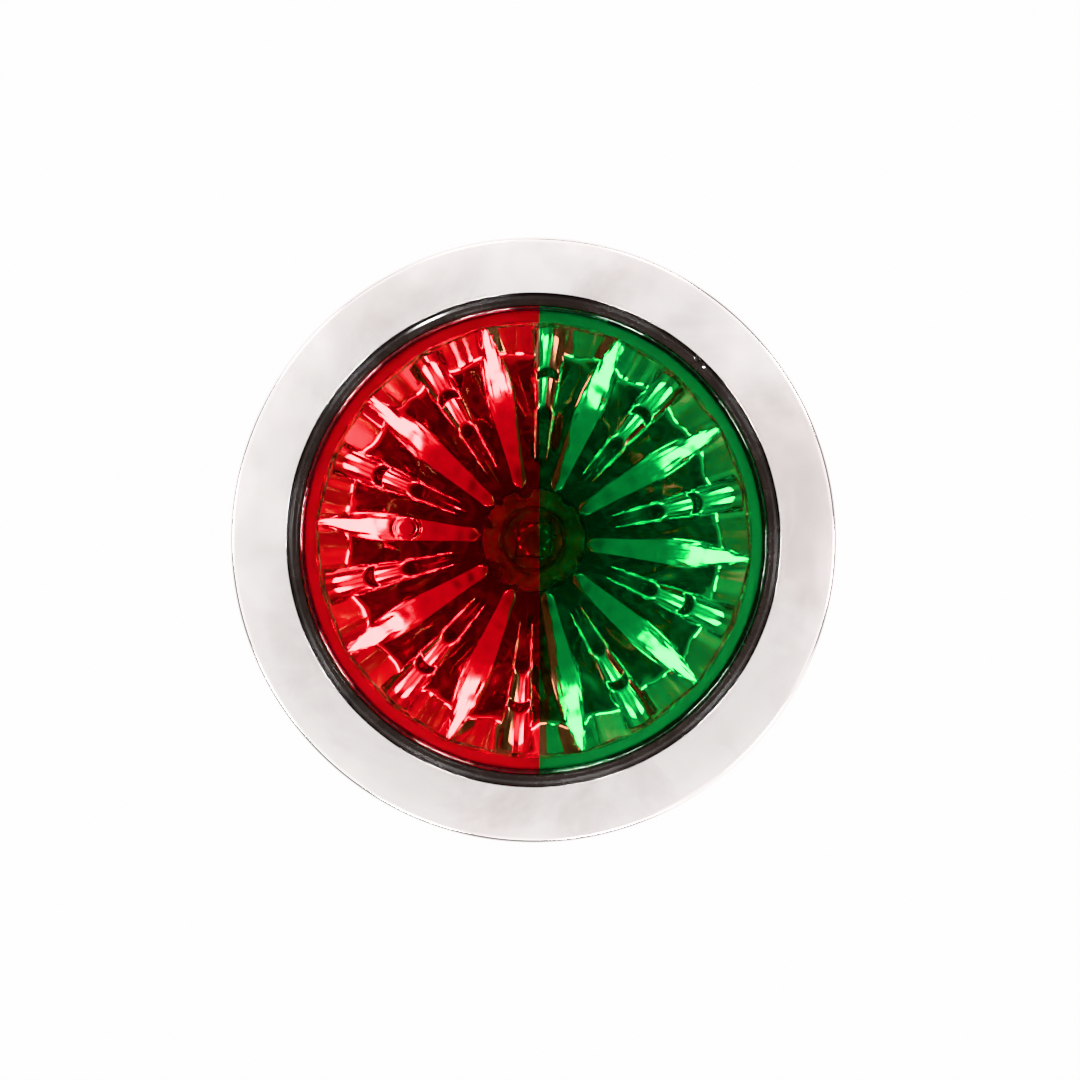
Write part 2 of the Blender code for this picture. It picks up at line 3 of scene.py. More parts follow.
import bpy
import numpy as np
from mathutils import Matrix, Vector


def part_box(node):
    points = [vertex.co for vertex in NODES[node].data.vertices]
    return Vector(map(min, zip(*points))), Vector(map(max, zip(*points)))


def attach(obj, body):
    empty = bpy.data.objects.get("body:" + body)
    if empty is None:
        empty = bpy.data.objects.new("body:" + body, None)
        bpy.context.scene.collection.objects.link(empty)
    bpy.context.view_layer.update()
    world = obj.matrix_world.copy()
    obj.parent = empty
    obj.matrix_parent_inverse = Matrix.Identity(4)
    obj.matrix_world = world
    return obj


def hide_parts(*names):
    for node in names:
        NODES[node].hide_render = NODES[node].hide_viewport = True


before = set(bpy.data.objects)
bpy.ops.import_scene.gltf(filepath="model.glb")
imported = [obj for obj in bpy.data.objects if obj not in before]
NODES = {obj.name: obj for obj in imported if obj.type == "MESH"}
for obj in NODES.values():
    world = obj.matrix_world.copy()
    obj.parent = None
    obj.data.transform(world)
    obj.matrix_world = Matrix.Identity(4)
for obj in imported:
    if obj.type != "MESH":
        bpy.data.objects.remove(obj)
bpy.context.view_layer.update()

# The looks of a flush-mounted, two-colour bow navigation light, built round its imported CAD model.
#
# The light looks along -Y. Shapes are drawn in a local frame, in millimetres, whose +z points out
# of the lens: local (x, y, z) is (x, -z, y) of the shared frame. Angles run clockwise from straight
# up, as the light is seen from the front.

MM = 0.001
WELD = 4  # points that agree to this many decimals of a millimetre become one


def span(node):
    """(outer radius, lowest height, highest height) of a round CAD node on the axis, in mm."""
    low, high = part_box(node)
    return high.x / MM, -high.y / MM, -low.y / MM


# ---- meshes ---------------------------------------------------------------------------------


def to_frame(points):
    """Local points in mm to the shared frame in metres."""
    return np.stack([points[..., 0], -points[..., 2], points[..., 1]], -1) * MM


def sheet_faces(rows, columns, offset, wrap_rows, wrap_columns):
    """Four-cornered faces of a grid of points, as an array of indices."""
    r = np.arange(rows if wrap_rows else rows - 1)
    c = np.arange(columns if wrap_columns else columns - 1)
    r, c = np.meshgrid(r, c, indexing="ij")
    below, beside = (r + 1) % rows, (c + 1) % columns
    corners = [r * columns + c, below * columns + c, below * columns + beside, r * columns + beside]
    return np.stack(corners, -1).reshape(-1, 4) + offset


def mesh_of(name, grids, sharp):
    """One mesh, facing outwards, from grids of local points: (points, wrap_rows, wrap_columns).

    Edges that turn by more than sharp degrees are creases, unless sharp is 0.
    """
    points, faces, offset = [], [], 0
    for grid, wrap_rows, wrap_columns in grids:
        rows, columns = grid.shape[:2]
        flat = grid.reshape(-1, 3)
        made = sheet_faces(rows, columns, offset, wrap_rows, wrap_columns)
        a, b, c, d = (flat[made[:, i] - offset] for i in range(4))
        volume = np.einsum("ij,ij->", a, np.cross(b, c))
        volume += np.einsum("ij,ij->", a, np.cross(c, d))
        faces.append(made if volume > 0 else made[:, ::-1])
        points.append(flat)
        offset += len(flat)
    points, faces = np.concatenate(points), np.concatenate(faces)
    _, first, same = np.unique(
        np.round(points, WELD), axis=0, return_index=True, return_inverse=True
    )
    faces = same.reshape(-1)[faces]
    # A face whose corners were welded becomes a triangle, or nothing.
    whole = np.all([faces[:, i] != faces[:, j] for i in range(4) for j in range(i)], axis=0)
    listed = faces[whole].tolist()
    for face in faces[~whole].tolist():
        corners = list(dict.fromkeys(face))
        if len(corners) > 2:
            listed.append(corners)
    mesh = bpy.data.meshes.new(name)
    mesh.from_pydata(to_frame(points[first]).tolist(), [], listed)
    mesh.shade_smooth()
    if sharp:
        mesh.set_sharp_from_angle(angle=math.radians(sharp))
    return mesh


def add(name, grids, material, slot, *nodes, body="light", sharp=35):
    """A piece of the visual model that stands for CAD nodes and rides on their body."""
    mesh = mesh_of(name, grids, sharp)
    mesh.materials.append(material)
    piece = bpy.data.objects.new(name, mesh)
    bpy.context.scene.collection.objects.link(piece)
    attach(piece, body)
    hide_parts(*nodes)


def rounded(corners, steps=5):
    """A profile of (radius, height, fillet) corners, with each fillet drawn as an arc."""
    points = []
    for i, (radius, height, fillet) in enumerate(corners):
        corner = Vector((radius, height))
        if fillet == 0:
            points.append(tuple(corner))
            continue
        before = (Vector(corners[i - 1][:2]) - corner).normalized()
        after = (Vector(corners[(i + 1) % len(corners)][:2]) - corner).normalized()
        half = before.angle(after) / 2
        centre = corner + (before + after).normalized() * (fillet / math.sin(half))
        first = corner + before * (fillet / math.tan(half)) - centre
        last = corner + after * (fillet / math.tan(half)) - centre
        for step in range(steps + 1):
            arm = (first * (1 - step / steps) + last * (step / steps)).normalized() * fillet
            points.append(tuple(centre + arm))
    return points


def around(radius, height, angle):
    """Points at a radius and a height, for every angle."""
    return np.stack([radius * np.sin(angle), radius * np.cos(angle), height + 0 * angle], -1)


def whole_turn(segments):
    """Evenly spaced angles from straight up, once round."""
    return np.linspace(0, 2 * math.pi, segments, endpoint=False)


def turned(profile, segments=192, at=(0, 0)):
    """Points of a (radius, height) profile, turned about the axis or about one beside it."""
    radius, height = np.array(profile).T[..., None]
    return around(radius, height, whole_turn(segments)) + (*at, 0)


def ring(profile, segments=192):
    """A grid for mesh_of: a closed profile, turned."""
    return (turned(profile, segments), True, True)


def solid(profile, segments=192, at=(0, 0)):
    """A grid for mesh_of: a profile that starts and ends on the axis, turned."""
    return (turned(profile, segments, at), False, True)


def slab_loop(width, height, radius, level, per_corner=10):
    """A rectangle with round corners, at one height."""
    points = []
    for quarter, (sx, sy) in enumerate(((1, 1), (-1, 1), (-1, -1), (1, -1))):
        for step in range(per_corner + 1):
            a = math.radians(90 * quarter + 90 * step / per_corner)
            x = sx * (width / 2 - radius) + radius * math.cos(a)
            points.append((x, sy * (height / 2 - radius) + radius * math.sin(a), level))
    return points


def smooth(low, high, x):
    """0 at low, 1 at high, with soft ends; low may be the larger."""
    t = np.clip((x - low) / (high - low), 0, 1)
    return t * t * (3 - 2 * t)


def soft_max(a, b, width):
    """The larger of two fields, blended where they are close."""
    h = np.clip(0.5 + 0.5 * (a - b) / width, 0, 1)
    return b * (1 - h) + a * h + width * h * (1 - h)


def ripple(x, y, seed):
    """A smooth random field, for the small waves of a moulded surface."""
    draw = np.random.RandomState(seed)
    waves = 26
    total = 0
    for _ in range(waves):
        turn, pitch = draw.uniform(0, 2 * np.pi), draw.uniform(2.0, 6.0)
        k, phase = 2 * np.pi / pitch, draw.uniform(0, 2 * np.pi)
        along = x * np.cos(turn) + y * np.sin(turn)
        across = x * np.sin(turn) - y * np.cos(turn)
        total = total + np.sin(k * along + phase + 1.3 * np.sin(0.7 * k * across)) / k
    return total / math.sqrt(waves)


# ---- materials ------------------------------------------------------------------------------


class Nodes:
    """Builds one material's node tree."""

    def __init__(self, name):
        self.material = bpy.data.materials.new(name)
        self.material.use_nodes = True
        self.tree = self.material.node_tree
        self.shader = self.tree.nodes["Principled BSDF"]
        self.where = self.tree.nodes.new("ShaderNodeTexCoord").outputs["Object"]

    def link(self, source, target):
        self.tree.links.new(source, target)

    def noise(self, scale, detail=4.0, roughness=0.55, distortion=0.0):
        texture = self.tree.nodes.new("ShaderNodeTexNoise")
        texture.inputs["Scale"].default_value = scale
        texture.inputs["Detail"].default_value = detail
        texture.inputs["Roughness"].default_value = roughness
        texture.inputs["Distortion"].default_value = distortion
        self.link(self.where, texture.inputs["Vector"])
        return texture.outputs["Fac"]

    def radius(self):
        """The distance from the lens axis, in metres."""
        flat = self.tree.nodes.new("ShaderNodeVectorMath")
        flat.operation = "MULTIPLY"
        self.link(self.where, flat.inputs[0])
        flat.inputs[1].default_value = (1, 0, 1)
        length = self.tree.nodes.new("ShaderNodeVectorMath")
        length.operation = "LENGTH"
        self.link(flat.outputs["Vector"], length.inputs[0])
        return length.outputs["Value"]

    def remap(self, source, low, high, start=0.3, end=0.7):
        """A field that goes from low to high while its source goes from start to end."""
        node = self.tree.nodes.new("ShaderNodeMapRange")
        node.inputs["From Min"].default_value = start
        node.inputs["From Max"].default_value = end
        node.inputs["To Min"].default_value = low
        node.inputs["To Max"].default_value = high
        self.link(source, node.inputs["Value"])
        return node.outputs["Result"]

    def blend(self, factor, first, second):
        """A mix of two colours, or of a colour and what another node gives."""
        node = self.tree.nodes.new("ShaderNodeMix")
        node.data_type = "RGBA"
        self.link(factor, node.inputs["Factor"])
        for key, value in (("A", first), ("B", second)):
            sockets = [s for s in node.inputs if s.name == key and s.type == "RGBA"]
            if isinstance(value, tuple):
                sockets[0].default_value = (*value, 1.0)
            else:
                self.link(value, sockets[0])
        return [s for s in node.outputs if s.type == "RGBA"][0]

    def bump(self, source, depth, before=None):
        """Relief from a 0 to 1 field; depth is in metres."""
        node = self.tree.nodes.new("ShaderNodeBump")
        node.inputs["Strength"].default_value = 1.0
        node.inputs["Distance"].default_value = depth
        self.link(source, node.inputs["Height"])
        if before is not None:
            self.link(before, node.inputs["Normal"])
        return node.outputs["Normal"]

    def set(self, **values):
        """Give the shader's inputs, named with _ for a space, a value or another node's output."""
        for key, value in values.items():
            socket = self.shader.inputs[key.replace("_", " ")]
            if isinstance(value, bpy.types.NodeSocket):
                self.link(value, socket)
            elif isinstance(value, tuple):
                socket.default_value = (*value, 1.0)
            else:
                socket.default_value = value


def finish(
    name, colour, worn, roughness, metallic=0.0, patch=90, grain=1800, depth=4e-6, **extra
):
    """A plain surface: patches of a second tone, uneven gloss, and a fine moulded or drawn grain.

    patch and grain are noise scales, per metre; depth is the grain's relief, in metres.
    """
    n = Nodes(name)
    patches = n.noise(patch, detail=6.0, distortion=0.4)
    n.set(
        Base_Color=n.blend(n.remap(patches, 0.0, 1.0), colour, worn),
        Roughness=n.remap(n.noise(patch * 3.1, detail=5.0), *roughness),
        Metallic=metallic,
        Normal=n.bump(n.noise(grain, detail=3.0), depth),
        **extra,
    )
    return n.material


def lens_material(name, tint, deeper):
    """Tinted clear polycarbonate: slight variations of tint, a faint haze and moulding waves."""
    n = Nodes(name)
    haze = n.noise(300, detail=6.0, roughness=0.7)
    n.set(
        Base_Color=n.blend(n.remap(n.noise(70, detail=4.0), 0.0, 1.0), tint, deeper),
        Roughness=n.remap(haze, 0.0, 0.018, 0.45, 0.75),
        Normal=n.bump(n.noise(260, detail=2.0), 4e-7),
        Transmission_Weight=1.0,
        Specular_IOR_Level=0.22,
        IOR=1.58,
    )
    return n.material


def mirror_material():
    """Bright metallised plastic; the border under the lens edge is painted dark grey as painted
    shade, and made rough and unmetallised.
    """
    n = Nodes("mirror_coat")
    # Past the faceted edge the coat turns dark grey, rough and unmetallised: painted shade.
    shaded_border = n.remap(n.radius(), 0.0, 1.0, 0.02962, 0.02975)
    patches = n.noise(420, detail=6.0, distortion=0.4)
    coat = n.blend(n.remap(patches, 0.0, 1.0), (0.88, 0.88, 0.885), (0.70, 0.70, 0.705))
    n.set(
        Base_Color=n.blend(shaded_border, coat, (0.32, 0.32, 0.32)),
        Roughness=n.remap(shaded_border, 0.06, 0.3, 0.0, 1.0),
        Metallic=n.remap(shaded_border, 1.0, 0.0, 0.0, 1.0),
        Normal=n.bump(n.noise(1300, detail=3.0), 4e-7),
    )
    return n.material


def bezel_material():
    """Polished stainless steel, with large soft patches of a darker pinkish tone painted in as
    painted reflection, and faint concentric lines.
    """
    n = Nodes("polished_stainless")
    lines = n.tree.nodes.new("ShaderNodeTexNoise")
    lines.noise_dimensions = "1D"
    lines.inputs["Scale"].default_value = 9000
    lines.inputs["Detail"].default_value = 3.0
    n.link(n.radius(), lines.inputs["W"])
    # Large noise patches blend the pale steel into a darker pinkish tone: a painted reflection.
    haze = n.remap(n.noise(38, detail=5.0, roughness=0.6, distortion=0.8), 0.0, 1.0, 0.42, 0.66)
    uneven = n.bump(n.noise(420, detail=3.0), 1.5e-6)
    n.set(
        Base_Color=n.blend(haze, (0.93, 0.902, 0.892), (0.81, 0.755, 0.75)),
        Roughness=n.remap(n.noise(140, detail=6.0), 0.06, 0.13),
        Metallic=1.0,
        Normal=n.bump(lines.outputs["Fac"], 4e-7, uneven),
    )
    return n.material


def phosphor_material():
    """The LED's yellow phosphor, dull and granular."""
    n = Nodes("led_phosphor")
    grains = n.noise(5200, detail=5.0)
    n.set(
        Base_Color=n.blend(n.remap(grains, 0.0, 1.0), (0.10, 0.085, 0.02), (0.055, 0.045, 0.012)),
        Roughness=n.remap(grains, 0.5, 0.7),
        Normal=n.bump(grains, 2e-5),
    )
    return n.material


RED = lens_material("red_polycarbonate", (0.97, 0.115, 0.15), (0.95, 0.09, 0.12))
GREEN = lens_material("green_polycarbonate", (0.14, 0.60, 0.262), (0.115, 0.57, 0.245))
STEEL = bezel_material()
MIRROR = mirror_material()
PHOSPHOR = phosphor_material()
# For the plain surfaces: name, colour, second tone and range of roughness come first.
SCREW_STEEL = finish(
    "screw_steel", (0.70, 0.69, 0.68), (0.55, 0.54, 0.53), (0.18, 0.34),
    metallic=1.0, patch=400,
)
WASHER_STEEL = finish(
    "washer_steel", (0.68, 0.67, 0.66), (0.55, 0.54, 0.53), (0.22, 0.4),
    metallic=1.0, patch=120, grain=1500,
)
SEAL = finish(
    "black_rubber", (0.019, 0.0158, 0.0148), (0.011, 0.0095, 0.009), (0.1, 0.16),
    patch=300, grain=2600, depth=1.5e-6,
)
GASKET = finish(
    "gasket_rubber", (0.020, 0.0195, 0.019), (0.013, 0.0125, 0.012), (0.6, 0.8),
    patch=260, grain=2200, depth=9e-6,
)
NYLON = finish(
    "black_nylon", (0.020, 0.020, 0.021), (0.030, 0.029, 0.029), (0.34, 0.52),
    patch=120, grain=2400, depth=7e-6,
)
COLLAR = finish(
    "collar_nylon", (0.17, 0.15, 0.145), (0.05, 0.045, 0.043), (0.05, 0.13),
    patch=420, grain=1500, depth=8e-6,
)
SILICONE = finish(
    "clear_silicone", (0.9, 0.9, 0.88), (0.8, 0.8, 0.78), (0.02, 0.08),
    patch=500, grain=1500, depth=1e-6, Transmission_Weight=1.0, IOR=1.41,
)
COPPER = finish(
    "copper_core", (0.72, 0.42, 0.28), (0.5, 0.27, 0.17), (0.25, 0.45),
    metallic=1.0, patch=600,
)
BOARD = finish(
    "board_lacquer", (0.82, 0.82, 0.80), (0.74, 0.74, 0.70), (0.3, 0.5),
    patch=150,
)
PAD = finish(
    "thermal_silicone", (0.30, 0.32, 0.35), (0.24, 0.26, 0.29), (0.7, 0.85),
    patch=260, grain=2600, depth=1e-5,
)
ALUMINIUM = finish(
    "anodised_aluminium", (0.66, 0.67, 0.69), (0.56, 0.57, 0.6), (0.3, 0.45),
    metallic=1.0, patch=200,
)
CHIP = finish(
    "component_black", (0.028, 0.028, 0.028), (0.045, 0.044, 0.043), (0.45, 0.65),
    patch=700,
)
CERAMIC = finish(
    "component_ceramic", (0.34, 0.29, 0.23), (0.24, 0.2, 0.16), (0.4, 0.6),
    patch=900,
)
BRASS = finish(
    "plated_brass", (0.80, 0.67, 0.42), (0.62, 0.48, 0.28), (0.16, 0.32),
    metallic=1.0, patch=500, grain=2000, depth=2e-6,
)
WIRE_RED = finish(
    "red_insulation", (0.55, 0.025, 0.025), (0.42, 0.02, 0.02), (0.35, 0.5),
    patch=500,
)
WIRE_BLACK = finish(
    "black_insulation", (0.025, 0.025, 0.025), (0.04, 0.04, 0.04), (0.35, 0.5),
    patch=500,
)


# ---- the front: bezel, gasket, seal and lens ------------------------------------------------

LENS_RADIUS = 31.75
SEAM = 0.012  # from the seam's middle to each lens half
BEZEL_INNER, BEZEL_SHOULDER = 33.55, 40.75
BEZEL_TILT = (16.2, 17.9)  # degrees, at the inner edge and at the shoulder
SEAL_INNER, SEAL_OUTER = 31.85, 33.48
GASKET_INNER = 33.8


def make_bezel():
    """A gently domed face that steepens outwards, a round shoulder and a hem folded under."""
    outer, low, high = span("bezel")
    lip, back, hem = 0.03, 4.5, 38.6
    profile = [(BEZEL_INNER, back), (BEZEL_INNER, high - lip)]
    profile += [(BEZEL_INNER + 0.01, high - 0.008), (BEZEL_INNER + lip, high)]
    flat = np.linspace(BEZEL_INNER + 0.1, BEZEL_SHOULDER, 24)
    radii = np.concatenate([[BEZEL_INNER + lip, BEZEL_INNER + 0.06], flat])
    tilt = np.radians(np.interp(radii, [BEZEL_INNER, BEZEL_SHOULDER], BEZEL_TILT))
    falls = np.tan((tilt[1:] + tilt[:-1]) / 2) * np.diff(radii)
    drop = np.concatenate([[0], np.cumsum(falls)])
    profile += [(r, high - d) for r, d in zip(radii[1:], drop[1:])]
    last = tilt[-1]
    reach = (outer - BEZEL_SHOULDER) / (1 - math.sin(last))
    for a in np.linspace(last, math.pi / 2, 16)[1:]:
        fall = reach * (math.cos(last) - math.cos(a))
        profile.append((outer - reach + reach * math.sin(a), high - drop[-1] - fall))
    profile += [(outer, low + 0.3), (outer - 0.1, low + 0.1), (outer - 0.3, low), (hem, low)]
    profile += [(hem, 0.9), (outer - 1.0, 0.9), (outer - 1.0, 2.2), (39.9, 2.8), (34.4, back)]
    add("bezel_ring", [ring(profile, 360)], STEEL, "stainless", "bezel", sharp=50)


def make_gasket():
    """The flat ring between the bezel and the panel."""
    outer, low, high = span("bezel_gasket")
    corners = [(GASKET_INNER, high, 0.15), (outer, high, 0.15)]
    corners += [(outer, low, 0.2), (GASKET_INNER, low, 0.2)]
    add("panel_gasket", [ring(rounded(corners))], GASKET, "seal_rubber", "bezel_gasket")


def make_seal():
    """The black ring round the lens: two low steps, with one small nick in its outer edge."""
    outer, low, high = span("lens_seal")
    foot, step = 31.3, high - 0.2
    profile = rounded(
        [
            (SEAL_INNER, high - 0.3, 0.1),
            (32.1, high - 0.28, 0.03),
            (32.22, step, 0.03),
            # The cone between the steps faces inwards and catches the lamp's glint.
            (32.8, step, 0.05),
            (33.12, high, 0.03),
            (33.4, high - 0.02, 0.06),
            (SEAL_OUTER, high - 0.3, 0.05),
            (SEAL_OUTER, 4.45, 0.0),
            (outer, 4.4, 0.0),
            (outer, low, 0.0),
            (foot, low, 0.0),
            (foot, 3.7, 0.0),
            (SEAL_INNER, 3.7, 0.0),
        ]
    )
    grid = turned(profile, 480)
    nick_angle, nick_width, nick_depth = 43, 0.9, 0.35
    angle = np.degrees(np.arctan2(grid[..., 0], grid[..., 1]))
    radius = np.hypot(grid[..., 0], grid[..., 1])
    front = smooth(32.8, 33.2, radius) * (grid[..., 2] > 4)
    grid[..., 2] -= nick_depth * np.exp(-(((angle - nick_angle) / nick_width) ** 2)) * front
    add("lens_seal_ring", [(grid, True, True)], SEAL, "seal_rubber", "lens_seal")


def make_lens():
    """Two half domes that meet along an upright seam, a little beside the middle."""
    seam = (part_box("lens_red")[1][0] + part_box("lens_green")[0][0]) / 2 / MM
    rim_top, rim_bottom, crown, thickness = 5.3, 4.0, 1.4, 1.6
    fillet = 0.3
    radii = np.linspace(0, LENS_RADIUS - 0.35, 48)
    rise = crown * (1 - (radii / LENS_RADIUS) ** 2)
    profile = list(zip(radii, rim_top + rise))
    level = profile[-1][1] - 0.02 - fillet
    for a in np.radians(np.arange(75, -1, -15)):
        profile.append((LENS_RADIUS - fillet + fillet * math.cos(a), level + fillet * math.sin(a)))
    profile += [(LENS_RADIUS, rim_bottom + 0.1), (LENS_RADIUS - 0.1, rim_bottom - 0.1)]
    profile += list(zip(radii[::-1], (rim_top - thickness + rise)[::-1]))
    radius, height = np.array(profile).T[..., None]
    angle = np.linspace(0, math.pi, 181)
    share = np.linspace(0, 1, 9)[None, :, None]
    for side, node, material in ((-1, "lens_red", RED), (1, "lens_green", GREEN)):
        x = side * np.maximum(radius * np.sin(angle), SEAM)
        y = radius * np.cos(angle)
        # The dome slides over to the seam, and its rim stays round.
        near, far = np.hypot(x, y), np.hypot(x + seam, y)
        scale = 1 + (near / np.maximum(far, 1e-6) - 1) * (near / LENS_RADIUS) ** 4
        skin = np.stack([(x + seam) * scale, y * scale, height + 0 * angle], -1)
        # A flat wall along the seam joins the skin's two ends.
        wall = skin[:, :1] * (1 - share) + skin[:, -1:] * share
        skin = np.concatenate([skin, wall[:, -2:0:-1]], axis=1)
        add(f"{node}_half", [(skin, False, True)], material, f"{node[5:]}_lens", node, sharp=40)


# ---- the mirror -----------------------------------------------------------------------------

HUB = 7.3  # radius of the hole for the lamp
RIDGES = 10
PERIOD = 2 * math.pi / RIDGES  # from one channel to the next, with a ridge in the middle
TURN = math.radians(5)  # where the first channel lies
BASE = -8.6  # the valleys' height at the hub
WALL = 0.12  # width of the steep flanks of ridges and channels
RIDGE_NARROWS, RIDGE_TIP = 19.0, 29.4
CROWN = 0.06  # how far a ridge's rounded top falls towards its edges, as a share of its width
CHANNEL_END = 29.2
OUTER_WALL, OUTER_SLOPE, OUTER_BLEND = 25.5, 0.42, 0.7  # radius, slope and width of its foot
BOSS = (-17.4, 1.6)  # a small moulded ring on one ridge
EDGE, FACETS = 29.62, 20  # the mirror's front ends in flat facets
FRONT_ROWS = 170
# Slopes along the radius: (radius, slope) points of the valleys, the ridges and the channels.
FLOOR_SLOPES = ((7, 0.04), (12, 0.09), (19, 0.16), (30, 0.19))
CREST_SLOPES = (
    (7, 0.225), (10, 0.25), (13, 0.275), (17.5, 0.31), (19.5, 0.40), (21, 0.435), (25, 0.455),
    (29.5, 0.47),
)
CHANNEL_SLOPES = (
    (7, 0.0), (14, 0.0), (17.8, 0.03), (18.8, 0.37), (20.5, 0.40), (22.3, 0.44), (22.6, 0.03),
    (23.4, 0.05), (23.9, 0.38), (25.5, 0.40), (27.6, 0.45), (28.4, 0.55),
)


def line(slopes, start):
    """Heights at fine steps of radius, from slopes, with a known height at the hub."""
    radii = np.linspace(0, 40, 8001)
    slope = np.interp(radii, [p[0] for p in slopes], [p[1] for p in slopes])
    height = np.concatenate([[0], np.cumsum((slope[1:] + slope[:-1]) / 2 * np.diff(radii))])
    return radii, height - np.interp(HUB, radii, height) + start


def ridge_width(r):
    """Half the width of a ridge: a round inner end, a steady growth and a pointed outer end."""
    width = 0.72 + 0.085 * (np.minimum(r, RIDGE_NARROWS) - HUB)
    point = np.clip((r - RIDGE_NARROWS) / (RIDGE_TIP - RIDGE_NARROWS), 0, 1)
    start = np.clip((HUB + 1.1 - r) / 0.9, 0, 1)
    return np.maximum(width * (1 - point**2) ** 0.65 * np.sqrt(1 - start**2), 0.02)


def full_channel_width(r):
    """Half the width of a channel, away from its ends."""
    return 0.55 + 0.085 * (r - 9)


def channel_width(r):
    """Half the width of a channel, with a squared-off round end."""
    width = full_channel_width(r)
    end = np.clip((r - (CHANNEL_END - width * 0.7)) / (width * 0.7), 0, 1)
    start = np.clip((8.9 - r) / 0.7, 0, 1)
    return np.maximum(width * (1 - end**3) ** (1 / 3) * np.sqrt(1 - start**2), 0.02)


def valley_height(r, turn, x, y):
    """The valleys between ridges and channels: drawn, wavy floors and a scalloped outer wall."""
    valley = np.floor(turn / (PERIOD / 2))
    local = turn - PERIOD / 2 * (valley + 0.5)
    drawn = ripple(r * 0.55 + 17 * valley, r * local * 0.9, 3)
    floor = np.interp(r, *line(FLOOR_SLOPES, BASE))
    floor = floor + 0.095 * drawn * smooth(7.5, 12, r) * (1 - 0.92 * smooth(24.5, 26, r))
    # The wall's foot wanders with the angle only, and the bend at the foot is a soft one.
    foot = OUTER_WALL + 0.3 * np.cos(4 * np.pi * turn / PERIOD)
    foot = foot + 0.45 * ripple(x / r * 18 + 7, y / r * 18 - 3, 9)
    run = 3 * (r - foot) / OUTER_BLEND
    return floor + OUTER_SLOPE * OUTER_BLEND * np.log1p(np.exp(np.minimum(run, 60))) / 3


def crest_height(r, turn, x, y, waves):
    """The ridges' rounded tops, with fine lengthwise fibres, and the small ring on one of them."""
    middle = r * np.sin(np.remainder(turn, PERIOD) - PERIOD / 2)
    across = middle * 7 + 40 * np.round(turn / PERIOD - 0.5)
    fibres = 0.012 * ripple(across, r * 0.7, 21) * smooth(14, 19, r) * (1 - 0.5 * smooth(21, 24, r))
    width = ridge_width(r)
    crest = np.interp(r, *line(CREST_SLOPES, BASE + 0.35))
    crest = crest - CROWN * width * np.minimum(np.abs(middle) / width, 1) ** 2
    boss = np.hypot(x - BOSS[0], (y - BOSS[1]) * 1.15)
    boss = np.exp(-(((boss - 1.85) / 0.16) ** 2)) + 0.5 * np.exp(-(((boss - 1.35) / 0.12) ** 2))
    return crest + 0.02 * waves + fibres + 0.16 * boss


def channel_height(r, from_channel, waves):
    """The channels' stepped floors, each step a shallow window that curves across."""
    share = np.minimum(from_channel / np.maximum(full_channel_width(r), 0.05), 1)
    channel = np.interp(r + 0.9 * share**2, *line(CHANNEL_SLOPES, BASE - 0.6))
    return channel + 0.01 * waves + 0.12 * share**6


def mirror_height(r, turn):
    """The bowl's front at a radius and an angle from a channel's middle."""
    x, y = r * np.sin(turn + TURN), r * np.cos(turn + TURN)
    from_ridge = np.abs(r * np.sin(np.remainder(turn, PERIOD) - PERIOD / 2))
    from_channel = np.abs(r * np.sin(np.remainder(turn + PERIOD / 2, PERIOD) - PERIOD / 2))
    waves = ripple(x, y, 3)
    floor = valley_height(r, turn, x, y)
    crest = crest_height(r, turn, x, y, waves)
    on_ridge = 1 - smooth(0, 1, (from_ridge - ridge_width(r)) / WALL)
    height = floor + np.maximum(crest - floor, 0) * on_ridge
    channel = channel_height(r, from_channel, waves)
    # The channels sink in away from the hub.
    on_channel = 1 - smooth(0, 1, (from_channel - channel_width(r)) / WALL)
    return height + np.minimum(channel - height, 0) * on_channel * smooth(10.5, 17, r)


def columns_at(r):
    """The angles of the mirror's columns in half a period, from a channel's middle to a ridge's."""
    half = PERIOD / 2
    groove, side = channel_width(r) / r, WALL / r
    ridge = ridge_width(r) / r
    marks = [0 * r, groove, groove + side, half - ridge - side, half - ridge, half + 0 * r]
    counts = (9, 4, 18, 4, 9)
    angles = []
    for start, end, count in zip(marks, marks[1:], counts):
        angles += [start + (end - start) * i / count for i in range(count)]
    return angles + [marks[-1]]


def make_mirror():
    """The fluted front, a faceted edge, and a plain rim and back that the lens hides."""
    outer, low, _ = span("reflector")
    share = np.linspace(0, 1, FRONT_ROWS)
    half = np.stack(columns_at(HUB + (29.45 - HUB) * share), -1)
    period = np.concatenate([half[:, :-1], PERIOD - half[:, :0:-1]], 1)
    turn = np.concatenate([period + PERIOD * i for i in range(RIDGES)], 1)
    angle = turn + TURN
    facet = 2 * math.pi / FACETS
    edge = EDGE * math.cos(facet / 2) / np.cos(np.remainder(turn, facet) - facet / 2)
    radius = HUB + (edge - HUB) * share[:, None]
    front = around(radius, mirror_height(radius, turn), angle)
    edge, angle = edge[-1], angle[-1]
    # (beyond the edge, height), then (radius, height)
    lip = [(0, 2.8), (0, 3.0), (0.02, 3.1), (0.07, 3.19), (0.15, 3.25), (0.22, 3.27), (0.27, 3.282)]
    rim = [(edge + beyond, z) for beyond, z in lip]
    rim += [(outer - 0.3, 3.50), (outer - 0.25, 3.51), (outer - 0.05, 3.55), (outer, 3.5)]
    rim += [(outer, 3.3), (29.65, 3.3), (29.65, -6.6), (20.0, -9.6), (HUB, low)]
    rows = np.array([around(r, z, angle) for r, z in rim])
    grid = np.concatenate([front, rows])
    add("mirror_bowl", [(grid, True, True)], MIRROR, "mirror_coat", "reflector", sharp=60)


# ---- the lamp -------------------------------------------------------------------------------


